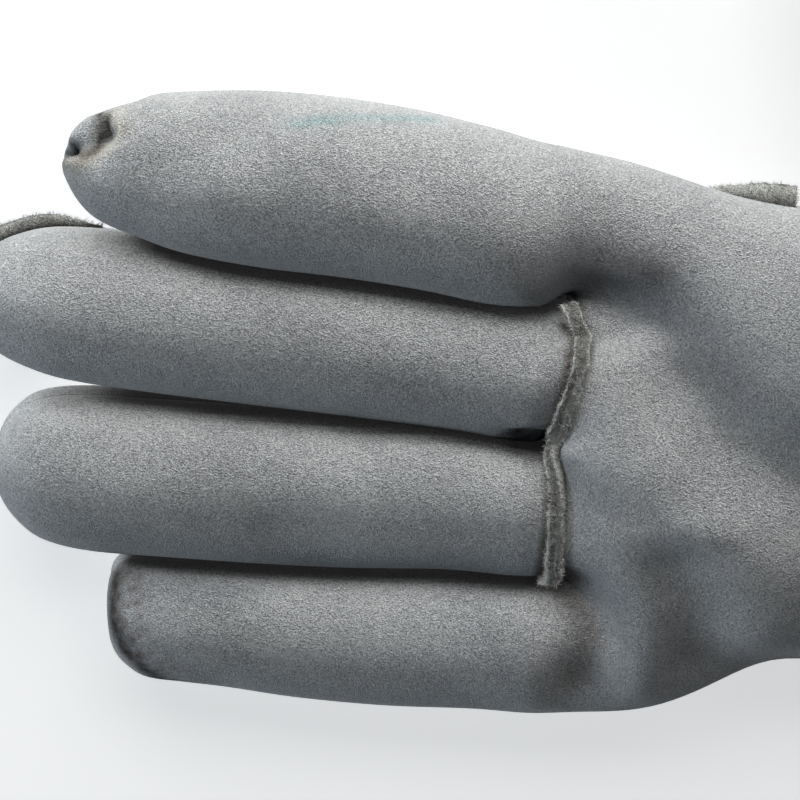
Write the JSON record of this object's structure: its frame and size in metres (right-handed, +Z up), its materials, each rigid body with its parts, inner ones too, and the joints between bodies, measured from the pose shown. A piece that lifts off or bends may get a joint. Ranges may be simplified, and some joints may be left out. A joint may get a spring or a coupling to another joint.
{
  "type": "leather work glove",
  "caption": "Split-leather work glove for the right hand, palm up and plump, with separate middle and ring finger front, raised base welt, set-in thumb and flared cuff.",
  "frame": {"origin": "on the surface that the glove lies on, under the middle of the back of the hand", "axes": "+X from the fingers to the cuff opening, +Y to the index finger side, +Z up out of the palm"},
  "size_m": [0.2661, 0.1618, 0.0452],
  "materials": {
    "suede": "blue-grey napped split leather, matt, with soft darker folds and scuffs",
    "suede_edge": "raw greenish-grey fuzzy cut edge of the same split leather"
  },
  "bodies": {
    "root": {"palm_panel": "suede", "finger_panel": "suede", "back_panel": "suede", "thumb_front": "suede", "thumb_back": "suede", "cuff": "suede", "base_welt": "suede_edge", "finger_welt": "suede_edge", "side_welt": "suede_edge"}
  },
  "joints": []
}
